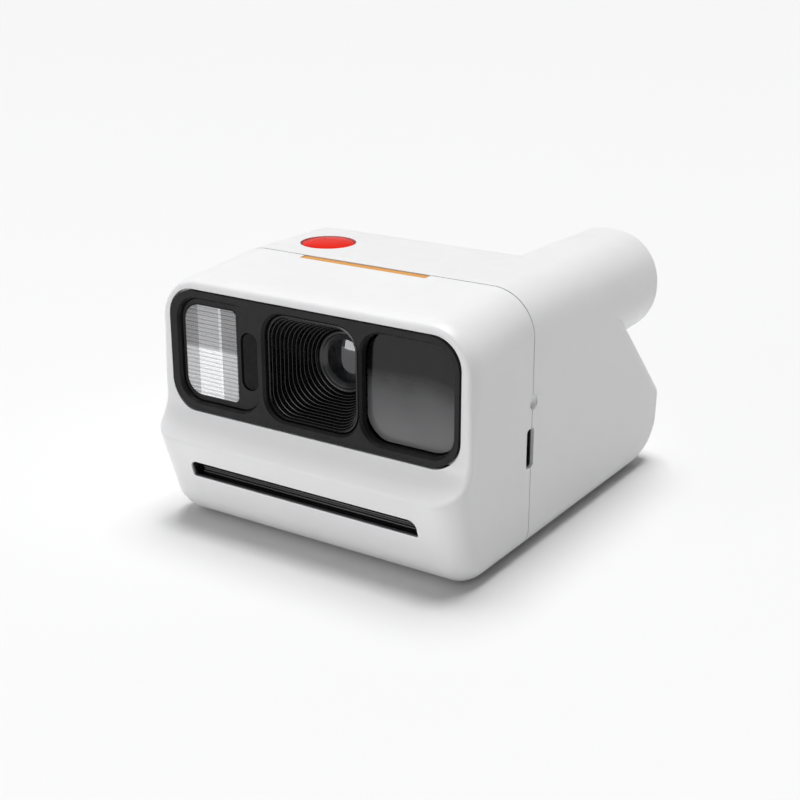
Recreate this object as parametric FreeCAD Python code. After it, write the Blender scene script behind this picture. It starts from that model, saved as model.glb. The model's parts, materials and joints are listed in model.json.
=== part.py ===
import FreeCAD, Part
import math
import os

os.makedirs("parts", exist_ok=True)
V = FreeCAD.Vector

# Compact instant camera, in millimetres. +X is right seen from the front,
# the front faces -Y, +Z is up, and the origin is the middle of the footprint at the base.

# overall
width = 84.0
height = 61.5
frontY = -52.63                    # chin tip before its edge is rounded
rearY = 52.25                      # rear ridge
splitY = -19.95                    # plane where the two shells meet
seam = 0.35                        # groove between neighbouring covers
wall = 1.8
halfW = width / 2

# rounding of the long side edges
topR = 10.5
baseR = 6.5
slopeR = 3.2

# black front panel and its three windows
panelY = -46.0                     # plane of the recessed front face
panelX = 39.0
panelZ = (28.2, 56.8)
panelR = 7.0
windowZ = (30.2, 55.0)
windowR = 5.5
lipWidth = 0.5                     # sloping lip round each window
flashX = (-36.5, -13.7)
lensX = (-11.8, 13.5)
finderX = (14.4, 37.5)

# optics
axisX = 0.85                       # lens axis
axisZ = 42.1
lensFrontY = -33.2                 # front rim of the lens ring
lensR = 5.0
barrelR = 7.2

# viewfinder tube: a rounded square that runs out of the top right edge
tubeX = (15.0, halfW)
tubeZ = (35.0, height)
tubeEndY = 47.0
tubeRootR = [9.0, 11.5, topR, topR]  # bottom left, bottom right, top right, top left
tubeEndR = [11.0, 13.1, 12.6, 12.0]

# shutter button
buttonX = -22.5
buttonY = -6.75
buttonR = 6.5
buttonTopZ = 61.9

# rear slope at 45 degrees, from the crease on top down to the rear ridge
creaseY = 10.36
slopeC = math.sqrt(0.5)

# film path
nipZ = 15.0
rollerY = -37.0
rollerR = 3.1
gearModule = 0.5
rollerTeeth = 13
idlerTeeth = 26
pinionTeeth = 10
gearX = (-36.6, -35.0)
packX = 29.5
packY = (-27.5, 43.0)
packZ = (6.2, 17.7)

# film door, hinged along X at its front edge
hingeY = 9.0
hingeR = 2.2
pinR = 0.75
doorX = 33.7


def save(name, shape):
    shape.exportStep("parts/" + name + ".step")


def box(x0, x1, y0, y1, z0, z1):
    return Part.makeBox(x1 - x0, y1 - y0, z1 - z0, V(x0, y0, z0))


def rodX(y, z, r, x0, x1):
    return Part.makeCylinder(r, x1 - x0, V(x0, y, z), V(1, 0, 0))


def rodY(x, z, r, y0, y1):
    return Part.makeCylinder(r, y1 - y0, V(x, y0, z), V(0, 1, 0))


def rodZ(x, y, r, z0, z1):
    return Part.makeCylinder(r, z1 - z0, V(x, y, z0), V(0, 0, 1))


def outline(points, radii, place):
    """Closed wire of straight runs with rounded corners; place maps (u, v) into space."""
    count = len(points)
    corners = []
    for i in range(count):
        p = V(*points[i], 0)
        if radii[i] <= 0:
            corners.append((p, None, p))
            continue
        toLast = (V(*points[i - 1], 0) - p).normalize()
        toNext = (V(*points[(i + 1) % count], 0) - p).normalize()
        half = toLast.getAngle(toNext) / 2
        inward = (toLast + toNext).normalize()
        reach = radii[i] / math.tan(half)
        middle = p + inward * (radii[i] / math.sin(half) - radii[i])
        corners.append((p + toLast * reach, middle, p + toNext * reach))
    edges = []
    for i in range(count):
        start, middle, end = corners[i]
        if middle is not None:
            arc = Part.Arc(place(start), place(middle), place(end))
            edges.append(arc.toShape())
        after = corners[(i + 1) % count][0]
        if (after - end).Length > 1e-6:
            edges.append(Part.LineSegment(place(end), place(after)).toShape())
    return Part.Wire(edges)


def prismX(points, radii, x0, x1):
    wire = outline(points, radii, lambda p: V(x0, p.x, p.y))
    return Part.Face(wire).extrude(V(x1 - x0, 0, 0))


def prismY(points, radii, y0, y1):
    wire = outline(points, radii, lambda p: V(p.x, y0, p.y))
    return Part.Face(wire).extrude(V(0, y1 - y0, 0))


def prismZ(points, radii, z0, z1):
    wire = outline(points, radii, lambda p: V(p.x, p.y, z0))
    return Part.Face(wire).extrude(V(0, 0, z1 - z0))


def cornersOf(u0, u1, v0, v1):
    return [(u0, v0), (u1, v0), (u1, v1), (u0, v1)]


def pillY(x0, x1, z0, z1, r, y0, y1):
    return prismY(cornersOf(x0, x1, z0, z1), [r] * 4, y0, y1)


def inset(points, t):
    """Convex anticlockwise outline moved inwards by t."""
    count = len(points)
    lines = []
    for i in range(count):
        a = V(*points[i], 0)
        run = (V(*points[(i + 1) % count], 0) - a).normalize()
        lines.append((a + V(-run.y, run.x, 0) * t, run))
    moved = []
    for i in range(count):
        a, u = lines[i - 1]
        b, w = lines[i]
        turn = u.x * w.y - u.y * w.x
        if abs(turn) < 1e-9:
            moved.append((b.x, b.y))
            continue
        k = ((b.x - a.x) * w.y - (b.y - a.y) * w.x) / turn
        moved.append((a.x + u.x * k, a.y + u.y * k))
    return moved


doc = FreeCAD.newDocument("camera")


def rounded(shape, radiiFor):
    """Fillet with one or two radii per edge; radiiFor gives None where the edge stays."""
    base = doc.addObject("Part::Feature", "base")
    base.Shape = shape
    fillet = doc.addObject("Part::Fillet", "fillet")
    fillet.Base = base
    chosen = []
    for number, edge in enumerate(shape.Edges, 1):
        radii = radiiFor(edge)
        if radii:
            chosen.append((number, radii[0], radii[1]))
    fillet.Edges = chosen
    doc.recompute()
    result = fillet.Shape.copy()
    if not result.isValid() or result.Volume < 0.5 * shape.Volume:
        print("fillet failed on", len(chosen), "edges")
        return shape
    return result


# ---- outer form

rearLowY = 51.4
ridge = (rearY + 0.19, creaseY + height - rearY - 0.19)
sideProfile = [
    (rearLowY, 0.0),
    ridge,
    (creaseY + 17, height - 17),       # the edge rounding has shrunk to slopeR by here
    (creaseY, height),
    (splitY, height),
    (frontY, 58.78),
    (frontY, 22.5),
    (-45.0, 0.0),
]
profileR = [13.0, 4.0, 0.0, 12.0, 60.0, 11.0, 12.0, 10.0]


def sideRadius(t):
    """Rounding rule for the long side edges of a body that lies t inside the outer one."""
    edgeX = halfW - t

    def at(p):
        if p.z > height - 8 or (p.y < splitY and p.z > 45):
            return topR - t
        if p.y > splitY and p.z > 9 + t:
            return slopeR - min(t, 1.5)
        return baseR - t

    def rule(edge):
        a = edge.valueAt(edge.FirstParameter)
        b = edge.valueAt(edge.LastParameter)
        if abs(abs(a.x) - edgeX) > 1e-6 or abs(a.x - b.x) > 1e-6:
            return None
        return (at(a), at(b))

    return rule


def camBody(t):
    points = inset(sideProfile, t) if t else sideProfile
    radii = [max(r - t, 1.0) if r else 0 for r in profileR]
    return rounded(prismX(points, radii, t - halfW, halfW - t), sideRadius(t))


# the recessed front face: straight sweep up from the ledge, then an arc, then vertical
sweepR = 8.0
sweepZ = 31.0
sweepTurn = math.radians(55)


def recess(back):
    """Everything in front of the recessed face, moved back by the given amount."""
    mid = V(0, panelY + back - sweepR, sweepZ + back * 0.6)
    on = lambda a: mid + V(0, math.cos(a), -math.sin(a)) * sweepR
    start = on(sweepTurn)
    low = start + V(0, -math.sin(sweepTurn), -math.cos(sweepTurn)) * 12
    top = V(0, panelY + back, height + 10)
    edge = V(-halfW - 8, 0, 0)
    run = [
        Part.LineSegment(low + edge, start + edge).toShape(),
        Part.Arc(start + edge, on(sweepTurn / 2) + edge, on(0) + edge).toShape(),
        Part.LineSegment(on(0) + edge, top + edge).toShape(),
        Part.LineSegment(top + edge, V(0, low.y, top.z) + edge).toShape(),
        Part.LineSegment(V(0, low.y, top.z) + edge, low + edge).toShape(),
    ]
    return Part.Face(Part.Wire(run)).extrude(V(2 * halfW + 16, 0, 0))


def frontForm():
    body = camBody(0).common(box(-50, 50, -60, splitY - seam / 2, -5, 70))
    body = body.cut(recess(0)).Solids[0]
    faceMid = V(0, panelY - sweepR, sweepZ)
    ramp = V(0, -math.sin(sweepTurn), -math.cos(sweepTurn))
    rampStart = faceMid + V(0, math.cos(sweepTurn), -math.sin(sweepTurn)) * sweepR

    def inRecess(face):
        s = face.Surface
        c = face.CenterOfMass
        if s.TypeId == "Part::GeomPlane" and abs(abs(s.Axis.y) - 1) < 1e-6:
            return abs(c.y - panelY) < 1e-3
        if s.TypeId == "Part::GeomPlane":
            return abs(s.Axis.x) < 1e-6 and abs((c - rampStart).dot(V(0, ramp.z, -ramp.y))) < 1e-3
        return s.TypeId == "Part::GeomCylinder" and abs(s.Center.z - sweepZ) < 1e-6

    def rim(edge):
        sides = [inRecess(f) for f in body.ancestorsOfType(edge, Part.Face)]
        return (1.1, 1.1) if len(sides) == 2 and sides[0] != sides[1] else None

    return rounded(body, rim)


def tubeForm(t, y0, y1):
    """Viewfinder tube, t inside its outer form, that turns rounder towards its end."""

    def section(y):
        share = min(max(y / tubeEndY, 0.0), 1.0)
        radii = [a + (b - a) * share - t for a, b in zip(tubeRootR, tubeEndR)]
        points = cornersOf(tubeX[0] + t, tubeX[1] - t, tubeZ[0] + t, tubeZ[1] - t)
        return outline(points, radii, lambda p: V(p.x, y, p.y))

    stops = [y0] + [y for y in (0.0, tubeEndY) if y0 < y < y1] + [y1]
    parts = [Part.makeLoft([section(a), section(b)], True, True) for a, b in zip(stops, stops[1:])]
    return parts[0].fuse(parts[1:]) if len(parts) > 1 else parts[0]


def tubeOuter():
    bar = tubeForm(0, 0.0, tubeEndY)

    def rim(edge):
        ends = [edge.valueAt(edge.FirstParameter), edge.valueAt(edge.LastParameter)]
        return (2.2, 2.2) if all(abs(p.y - tubeEndY) < 1e-6 for p in ends) else None

    return rounded(bar, rim)


def onSlope(shape, x, down):
    """Places a shape drawn flat (Y down the slope, Z outwards) on the rear slope."""
    moved = shape.copy()
    place = V(x, creaseY + down * slopeC, height - down * slopeC)
    moved.Placement = FreeCAD.Placement(place, FreeCAD.Rotation(V(1, 0, 0), -45))
    return moved


# ---- shells and covers

screwX = 35.0
screwYs = (-25.0, 0.0)
screwHeadR = 1.7
screwShankR = 0.9
dimpleR = 1.8
lightZ = 36.5
portZ = (21.2, 30.6)
portY = (-22.05, -18.85)
slotX = 31.3
slotZ = (12.8, 17.1)
slotR = [0.6, 0.6, 2.0, 2.0]
stripX = (-19.5, 15.5)
stripY = (-22.3, -20.1)
powerAt = (-27.0, 12.0)
counterAt = (-12.5, 12.0)
flashKeyAt = (2.5, 12.0)
keyR = 3.2
latchDown = 43.0
doorSeamDown = 52.0


def screwSeat(x, y):
    return rodZ(x, y, 2.7, wall - 0.6, 9.0)


def screwHole(x, y):
    return rodZ(x, y, screwHeadR + 0.3, -1, 1.9).fuse(rodZ(x, y, screwShankR, 0, 8.2))


def frontShell():
    outer = frontForm()
    inner = camBody(wall).common(box(-50, 50, -60, splitY + 5, -5, 70)).cut(recess(wall))
    shell = outer.cut(inner)
    for side in (-1, 1):
        x, y = side * screwX, screwYs[0]
        shell = shell.fuse(screwSeat(x, y).common(outer)).cut(screwHole(x, y))
    opening = pillY(-panelX - seam, panelX + seam, panelZ[0] - seam, panelZ[1] + seam,
                    panelR, panelY - 3, panelY + 1.2)
    through = pillY(-panelX + 1.6, panelX - 1.6, panelZ[0] + 1.6, panelZ[1] - 1.6,
                    panelR - 1.6, panelY - 3, panelY + 6)
    slot = prismY(cornersOf(-slotX, slotX, *slotZ), slotR, -60, -44.5)
    strip = prismZ(cornersOf(*stripX, *stripY), [0.4] * 4, 60.75, 65)
    light = rodX(splitY + 0.6, lightZ, dimpleR, 30, 50)
    port = prismX([(portY[0], portZ[0]), (-15, portZ[0]), (-15, portZ[1]), (portY[0], portZ[1])],
                  [0.9, 0, 0, 0.9], 30, 50)
    for tool in (opening, through, slot, strip, light, port):
        shell = shell.cut(tool)
    return shell


def doorRegion(gap):
    """Side outline of what belongs to the film door, grown by the gap."""
    far = doorSeamDown - gap
    seamOut = (creaseY + far * slopeC + 6, height - far * slopeC + 6)
    seamIn = (seamOut[0] - 16, seamOut[1] - 16)
    points = [(hingeY, -3), (70, -3), seamOut, seamIn, (seamIn[0] - 6, hingeR), (hingeY, hingeR)]
    return prismX(points, [0] * 6, -doorX - gap, doorX + gap)


def rearShell():
    outer = camBody(0).common(box(-50, 50, splitY + seam / 2, 60, -5, 70)).fuse(tubeOuter())
    inner = camBody(wall).common(box(-50, 50, splitY - 5, 60, -5, 70))
    inner = inner.fuse(tubeForm(wall, -10, tubeEndY + 5))
    shell = outer.cut(inner)
    shell = shell.cut(doorRegion(seam))
    shell = shell.cut(rodX(hingeY, hingeR, hingeR + seam, -doorX - seam, doorX + seam))
    relief = rodX(hingeY, hingeR, hingeR + 0.95, -doorX - seam, doorX + seam)
    shell = shell.cut(relief.common(box(-50, 50, 0, 20, -5, 0.6)))
    for side in (-1, 1):
        x, y = side * screwX, screwYs[1]
        shell = shell.fuse(screwSeat(x, y).common(outer)).cut(screwHole(x, y))
        ear = box(min(side * 34.0, side * 38.5), max(side * 34.0, side * 38.5), 6.2, 11.8, 0.9, 5.0)
        shell = shell.fuse(ear.common(outer))
    shell = shell.cut(rodX(hingeY, hingeR, pinR, -36.5, 36.5))
    shell = shell.cut(rodZ(buttonX, buttonY, buttonR + 0.35, 58.6, 65))
    shell = shell.cut(rodX(splitY + 0.6, lightZ, dimpleR, 30, 50))
    shell = shell.cut(prismX([(-25, portZ[0]), (portY[1], portZ[0]), (portY[1], portZ[1]), (-25, portZ[1])],
                             [0, 0.9, 0.9, 0], 30, 50))
    for x, down in (powerAt, flashKeyAt):
        shell = shell.cut(onSlope(rodZ(0, 0, keyR + 0.3, -6, 4), x, down))
    window = prismZ(cornersOf(-5.5, 5.5, -3.2, 3.2), [1.5] * 4, -6, 4)
    shell = shell.cut(onSlope(window, *counterAt))
    shell = shell.cut(onSlope(prismZ(cornersOf(-8, 8, -7.7, 4.4), [1.5] * 4, -1.1, 4), 0, latchDown))
    shell = shell.cut(onSlope(prismZ(cornersOf(-4, 4, -4.6, 2.9), [0.8] * 4, -6, 4), 0, latchDown))
    return shell


def filmDoor():
    skin = camBody(0).cut(camBody(wall)).common(doorRegion(0))
    barrel = rodX(hingeY, hingeR, hingeR, -doorX, doorX)
    door = skin.fuse(barrel)
    for x in (-20, 0, 20):
        rib = camBody(wall - 0.3).common(box(x - 0.6, x + 0.6, 14, 60, 0, 24))
        rib = rib.cut(box(x - 1, x + 1, 0, 44.8, 3.6, 30)).common(doorRegion(-0.4))
        door = door.fuse(rib)
    return door.cut(rodX(hingeY, hingeR, pinR + 0.05, -40, 40))


def doorLatch():
    plate = prismZ(cornersOf(-7.6, 7.6, -4.8, 4.1), [1.2] * 4, -0.95, 0.15)
    grip = [box(-5.5, 5.5, -2.2 + 1.5 * i, -1.5 + 1.5 * i, 0.1, 0.55) for i in range(3)]
    stem = box(-3.4, 3.4, -1.6, 2.4, -4.2, -0.9)
    hook = box(-3.4, 3.4, -1.6, 3.0, -5.2, -4.2)
    return onSlope(plate.fuse(grip + [stem, hook]), 0, latchDown)


# ---- front panel group

def frontPanel():
    panel = pillY(-panelX, panelX, panelZ[0], panelZ[1], panelR, panelY - 0.35, panelY + 1.1)
    plug = pillY(-panelX + 1.9, panelX - 1.9, panelZ[0] + 1.9, panelZ[1] - 1.9, panelR - 1.9,
                 panelY, panelY + 2.0)
    panel = panel.fuse(plug)
    for x0, x1 in (flashX, lensX, finderX):
        panel = panel.cut(pillY(x0, x1, windowZ[0], windowZ[1], windowR, panelY - 3, panelY + 4))
        rims = []
        for grow, y in ((lipWidth + 0.01, panelY - 0.36), (-0.01, panelY + 0.4)):
            points = cornersOf(x0 - grow, x1 + grow, windowZ[0] - grow, windowZ[1] + grow)
            rims.append(outline(points, [windowR + grow] * 4, lambda p: V(p.x, y, p.y)))
        panel = panel.cut(Part.makeLoft(rims, True, True))
    return panel


backY = panelY + 2.05              # rear face of the panel, where the three units bolt on
flashLensX = (-35.3, -20.3)
cellX = (-19.2, -14.5)
cellZ = (35.3, 49.0)


def flashCutout(grow, y0, y1):
    points = cornersOf(flashLensX[0] - grow, flashLensX[1] + grow, 31.8 - grow, 53.4 + grow)
    return prismY(points, [4.2, 1.0, 1.0, 4.2], y0, y1)


def flashHousing():
    body = pillY(flashX[0] + 0.25, flashX[1] - 0.25, windowZ[0] + 0.25, windowZ[1] - 0.25,
                 windowR - 0.25, panelY + 0.9, panelY + 3.4)
    back = box(flashX[0] + 0.4, flashX[1] - 0.4, panelY + 2.4, panelY + 13.0, 30.8, 54.4)
    body = body.fuse(back)
    body = body.cut(flashCutout(0.15, panelY - 2, panelY + 2.6))
    body = body.cut(box(flashLensX[0] - 0.1, flashLensX[1] + 0.1, panelY + 2.5, panelY + 12.0, 31.7, 53.5))
    cell = pillY(cellX[0], cellX[1], cellZ[0], cellZ[1], 2.3, panelY - 2, panelY + 2.2)
    return body.cut(cell).cut(box(-18.4, -15.4, panelY + 2.1, panelY + 6, 39, 46))


def flashLens():
    lens = flashCutout(0, panelY + 0.7, panelY + 2.4)
    grooves = [box(-36, -20, panelY, panelY + 0.95, 32.6 + 1.1 * i, 33.1 + 1.1 * i) for i in range(19)]
    return lens.cut(grooves[0].fuse(grooves[1:]))


def flashReflector():
    block = box(flashLensX[0], flashLensX[1], panelY + 2.6, panelY + 11.9, 31.8, 53.4)
    bowl = Part.makeCylinder(6.9, 30, V(-27.8, panelY + 3.9, 28), V(0, 0, 1))
    mouth = box(flashLensX[0] + 0.6, flashLensX[1] - 0.6, panelY + 2, panelY + 3.9, 32.4, 52.8)
    hollow = bowl.common(box(-40, -10, panelY, panelY + 12, 32.4, 52.8)).fuse(mouth)
    return block.cut(hollow)


def lensCone():
    steps = 13
    depth = 11.4
    body = pillY(lensX[0] + 0.25, lensX[1] - 0.25, windowZ[0] + 0.25, windowZ[1] - 0.25,
                 windowR - 0.25, panelY + 0.6, panelY + 3.0)
    body = body.fuse(pillY(lensX[0] + 0.8, lensX[1] - 0.8, 30.9, 54.3, 4.5, panelY + 2.5, panelY + 12.9))
    midX, midZ = sum(lensX) / 2, sum(windowZ) / 2
    hollow = None
    for k in range(steps):
        f = k / (steps - 1)
        half = 11.7 * (1 - f) + 7.7 * f
        r = 5.0 * (1 - f) + 7.69 * f
        x = midX * (1 - f) + axisX * f
        z = midZ * (1 - f) + axisZ * f
        ring = pillY(x - half, x + half, z - half, z + half, r, panelY - 1, panelY + 1.4 + depth * f)
        hollow = ring if hollow is None else hollow.fuse(ring)
    body = body.cut(hollow.removeSplitter())
    return body.cut(rodY(axisX, axisZ, barrelR + 0.2, panelY - 1, panelY + 20))


def lensBarrel():
    ring = rodY(axisX, axisZ, barrelR, lensFrontY, -26.0)
    dish = Part.makeCone(barrelR - 0.3, lensR, 1.3, V(axisX, lensFrontY, axisZ), V(0, 1, 0))
    ring = ring.cut(dish).cut(rodY(axisX, axisZ, lensR + 0.05, lensFrontY - 1, -29.4))
    return ring.cut(rodY(axisX, axisZ, lensR - 0.35, -30, -25))


def lensElement(r, y0, y1, bulgeFront, bulgeRear):
    """Round element whose two faces are spherical caps of the given height."""

    def cap(rimY, bulge, sign):
        radius = (r * r + bulge * bulge) / (2 * bulge)
        half = math.asin(r / radius) / 2
        drop = radius * (1 - math.cos(half))
        tip = V(axisX, rimY - sign * bulge, axisZ)
        mid = V(axisX + radius * math.sin(half), tip.y + sign * drop, axisZ)
        return tip, mid, V(axisX + r, rimY, axisZ)

    tipA, midA, rimA = cap(y0, bulgeFront, 1)
    tipB, midB, rimB = cap(y1, bulgeRear, -1)
    run = [
        Part.Arc(tipA, midA, rimA).toShape(),
        Part.LineSegment(rimA, rimB).toShape(),
        Part.Arc(rimB, midB, tipB).toShape(),
        Part.LineSegment(tipB, tipA).toShape(),
    ]
    return Part.Face(Part.Wire(run)).revolve(V(axisX, 0, axisZ), V(0, 1, 0), 360)


shutterHalfX = 14.0
shutterHalfZ = 9.6
shutterY = (-25.9, -22.2)
bladePivot = (axisX - 6.6, axisZ - 6.6)
discPivot = (axisX + 6.6, axisZ - 6.6)


def shutterCase():
    skin = 0.9
    case = box(axisX - shutterHalfX, axisX + shutterHalfX, *shutterY, axisZ - shutterHalfZ, axisZ + shutterHalfZ)
    case = case.cut(box(axisX - shutterHalfX + skin, axisX + shutterHalfX - skin,
                        shutterY[0] + skin, shutterY[1] - skin,
                        axisZ - shutterHalfZ + skin, axisZ + shutterHalfZ - skin))
    case = case.cut(rodY(axisX, axisZ, 4.2, -30, -20))
    for x, z in (bladePivot, discPivot):
        case = case.fuse(rodY(x, z, 0.7, shutterY[0] + 0.5, shutterY[1] - 0.5))
    return case


def swingVane(pivot, reach, r, y0, y1):
    """Thin vane with a round end that covers the lens opening, bored for its pivot."""
    x, z = pivot
    hub = rodY(x, z, 1.6, y0, y1)
    disc = rodY(axisX, axisZ, r, y0, y1)
    toAxis = V(axisX - x, 0, axisZ - z).normalize()
    arm = Part.makeBox(2.2, y1 - y0, reach, V(-1.1, 0, 0))
    turn = math.degrees(math.atan2(toAxis.x, toAxis.z))
    arm.Placement = FreeCAD.Placement(V(x, y0, z), FreeCAD.Rotation(V(0, 1, 0), turn))
    return hub.fuse([disc, arm]).cut(rodY(x, z, 0.75, y0 - 1, y1 + 1))


def shutterBlade():
    return swingVane(bladePivot, 6.0, 4.6, -24.75, -24.45)


def apertureVane():
    vane = swingVane(discPivot, 6.0, 4.6, -23.75, -23.45)
    return vane.cut(rodY(axisX, axisZ, 2.0, -30, -20))


crownR = 90.0


def finderWindow():
    plate = pillY(finderX[0] + 0.3, finderX[1] - 0.3, windowZ[0] + 0.3, windowZ[1] - 0.3,
                  windowR - 0.3, panelY + 0.2, panelY + 4.0)
    midX, midZ = sum(finderX) / 2, sum(windowZ) / 2
    dome = Part.makeSphere(crownR, V(midX, panelY + 0.25 + crownR, midZ))
    return plate.common(dome)


def finderTunnel():
    def section(cx, cz, w, h, r, y):
        points = cornersOf(cx - w / 2, cx + w / 2, cz - h / 2, cz + h / 2)
        return outline(points, [r] * 4, lambda p: V(p.x, y, p.y))

    def horn(t, y0, y1):
        front = section(25.95, 42.6, 22.6 - 2 * t, 24.2 - 2 * t, 5.0 - t, y0)
        rear = section(28.5, 48.25, 20.0 - 2 * t, 20.0 - 2 * t, 8.0 - t, y1)
        return Part.makeLoft([front, rear], True, True)

    return horn(0, panelY + 4.1, 41.0).cut(horn(1.2, panelY + 4.1, 41.0))


def eyepieceLens():
    plate = pillY(20.0, 37.0, 39.75, 56.75, 6.5, 41.2, 43.6)
    return plate.common(Part.makeSphere(30.0, V(28.5, 13.6, 48.25)))


def eyecup():
    cup = tubeForm(wall + 0.1, 41.2, tubeEndY + 0.5)
    cup = cup.cut(pillY(19.9, 37.1, 39.65, 56.85, 6.6, 40, 50))
    flare = pillY(18.6, 38.4, 38.35, 58.15, 7.9, 45.2, 50)
    return cup.cut(flare)


# ---- controls

def shutterButton():
    cap = rodZ(buttonX, buttonY, buttonR, 59.0, 61.0)
    dome = Part.makeSphere(46.0, V(buttonX, buttonY, buttonTopZ - 46.0))
    crown = rodZ(buttonX, buttonY, buttonR, 60.9, 63.0).common(dome)
    rim = Part.makeTorus(buttonR - 0.5, 0.5, V(buttonX, buttonY, 60.9))
    crown = crown.common(rodZ(buttonX, buttonY, buttonR - 0.5, 60.9, 63.0).fuse(rim))
    stem = rodZ(buttonX, buttonY, 1.1, 54.4, 59.2)
    flange = rodZ(buttonX, buttonY, buttonR + 0.9, 57.2, 58.3)
    neck = rodZ(buttonX, buttonY, buttonR - 0.6, 58.2, 59.1)
    return cap.fuse([crown, stem, flange, neck])


def shutterSpring():
    top = 57.1
    return rodZ(buttonX, buttonY, 2.5, 52.5, top).cut(rodZ(buttonX, buttonY, 2.1, 52.5, top))


def shutterSwitch():
    board = box(buttonX - 5.5, buttonX + 5.0, buttonY - 5.0, buttonY + 5.0, 50.4, 51.4)
    can = box(buttonX - 1.8, buttonX + 1.8, buttonY - 1.8, buttonY + 1.8, 51.4, 52.5)
    return board.fuse([can, rodZ(buttonX, buttonY, 0.9, 52.4, 53.0)])


def slopeKey(x, down):
    cap = rodZ(0, 0, keyR, -1.9, 0.35)
    crown = Part.makeSphere(20.0, V(0, 0, 0.45 - 20.0))
    cap = cap.common(crown.fuse(rodZ(0, 0, keyR, -3, -0.2)))
    flange = rodZ(0, 0, keyR + 0.9, -2.9, -1.9)
    stem = rodZ(0, 0, 1.0, -3.4, -2.8)
    return onSlope(cap.fuse([flange, stem]), x, down)


def counterWindow():
    pane = prismZ(cornersOf(-5.2, 5.2, -2.9, 2.9), [1.2] * 4, -1.5, -0.15)
    return onSlope(pane, *counterAt)


def counterDisplay():
    return onSlope(box(-4.4, 4.4, -2.4, 2.4, -4.3, -1.7), *counterAt)


def keyBoard():
    board = box(-22.0, 21.5, -4.6, 4.6, -5.2, -4.4)
    for x in (powerAt[0] - counterAt[0], flashKeyAt[0] - counterAt[0]):
        board = board.fuse(rodZ(x, 0, 1.2, -4.6, -4.35))
    return onSlope(board, *counterAt)


# ---- film path and light box

def filmChamber():
    t = 1.2
    outer = box(-packX - 0.3 - t, packX + 0.3 + t, packY[0] - 1.4, packY[1] + 0.4,
                packZ[0] - 0.25 - t, packZ[1] + 0.25 + t)
    inner = box(-packX - 0.3, packX + 0.3, packY[0] - 0.3, packY[1] + 2, packZ[0] - 0.25, packZ[1] + 0.25)
    gate = box(-23.3, 23.3, -5.5, 40.5, packZ[1], packZ[1] + 3)
    exitSlot = box(-28, 28, packY[0] - 3, packY[0] + 1, 14.0, 17.0)
    return outer.cut(inner).cut(gate).cut(exitSlot)


def filmPack():
    pack = box(-packX, packX, packY[0], packY[1], packZ[0], packZ[1])
    sheet = box(-23.0, 23.0, -5.0, 40.0, packZ[1] - 0.8, packZ[1] + 1)
    slot = box(-27.5, 27.5, packY[0] - 1, packY[0] + 2, 14.6, 15.8)
    return pack.cut(sheet).cut(slot)


mirrorIn = 8.0                     # how far the mirror's face lies under the slope
mirrorX = 11.5


def mirror():
    return onSlope(prismZ([(-mirrorX, 6.5), (mirrorX, 6.5), (23.5, 45.5), (-23.5, 45.5)], [1] * 4,
                          -mirrorIn, -mirrorIn + 1.5), 0, 0)


def boxWedge(t):
    """Straight-sided wedge that limits the light box in plan and seen from the front."""
    plan = [(-7.0 + t, -30), (7.0 - t, -30), (8.0 - t, -21.9), (25.5 - t, 22), (25.5 - t, 60),
            (-25.5 + t, 60), (-25.5 + t, 22), (-8.0 + t, -21.9)]
    face = [(-25.0 + t, 15), (25.0 - t, 15), (25.0 - t, 20), (16.6 - t, 37), (11.0 - t, 58),
            (-11.0 + t, 58), (-16.6 + t, 37), (-25.0 + t, 20)]
    return prismZ(plan, [0] * 8, 10, 62).common(prismY(face, [0] * 8, -40, 62))


def lightBox():
    lid = creaseY + height - mirrorIn / slopeC - 0.3
    front = -21.9
    outer = [(front, axisZ - 6.5), (front, axisZ + 6.5), (lid - 53.0, 53.0), (lid - 20.0, 20.0), (-7.5, 20.0)]
    inner = [(front - 3, axisZ - 4.8), (front - 3, axisZ + 4.8), (2.0, 51.6), (lid - 49.0, 51.6), (lid - 16.0, 18.6),
             (-5.6, 18.6)]
    solid = prismX(outer, [0] * 5, -30, 30).common(boxWedge(0))
    return solid.cut(prismX(inner, [0] * 6, -30, 30).common(boxWedge(1.2)))


def rollerFrame():
    parts = []
    for side in (-1, 1):
        x0, x1 = sorted((side * 33.2, side * 34.4))
        parts.append(box(x0, x1, -42.5, -31.0, 7.0, 24.0))
    parts.append(box(-34.4, -33.2, -31.5, -14.5, 17.0, 33.4))
    parts.append(box(-33.4, 33.4, -41.5, -32.5, 23.0, 24.0))
    plate = parts[0].fuse(parts[1:])
    for z in (nipZ + rollerGapZ, nipZ - rollerGapZ):
        plate = plate.cut(rodX(rollerY, z, 1.25, -40, 40))
    plate = plate.cut(rodX(*idlerAt, 0.8, -40, -30))
    return plate.cut(rodX(*pinionAt, 1.4, -40, -30))


rollerGapZ = gearModule * rollerTeeth / 2


def along(start, degrees, distance):
    a = math.radians(degrees)
    return (start[0] + distance * math.cos(a), start[1] + distance * math.sin(a))


idlerTurn = 40.0
pinionTurn = 20.0
upperAt = (rollerY, nipZ + rollerGapZ)
lowerAt = (rollerY, nipZ - rollerGapZ)
idlerAt = along(upperAt, idlerTurn, gearModule * (rollerTeeth + idlerTeeth) / 2)
pinionAt = along(idlerAt, pinionTurn, gearModule * (idlerTeeth + pinionTeeth) / 2)


def meshed(phase, teeth, towards, otherTeeth):
    """Tooth angle of a gear that meshes with one of the given tooth angle."""
    step = 360.0 / teeth
    other = 360.0 / otherTeeth
    ahead = ((towards - phase) / step) % 1.0
    return towards + 180.0 - (0.5 - ahead) * other


upperPhase = -90.0
lowerPhase = meshed(upperPhase, rollerTeeth, -90.0, rollerTeeth)
idlerPhase = meshed(upperPhase, rollerTeeth, idlerTurn, idlerTeeth)
pinionPhase = meshed(idlerPhase, idlerTeeth, pinionTurn, pinionTeeth)


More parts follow.
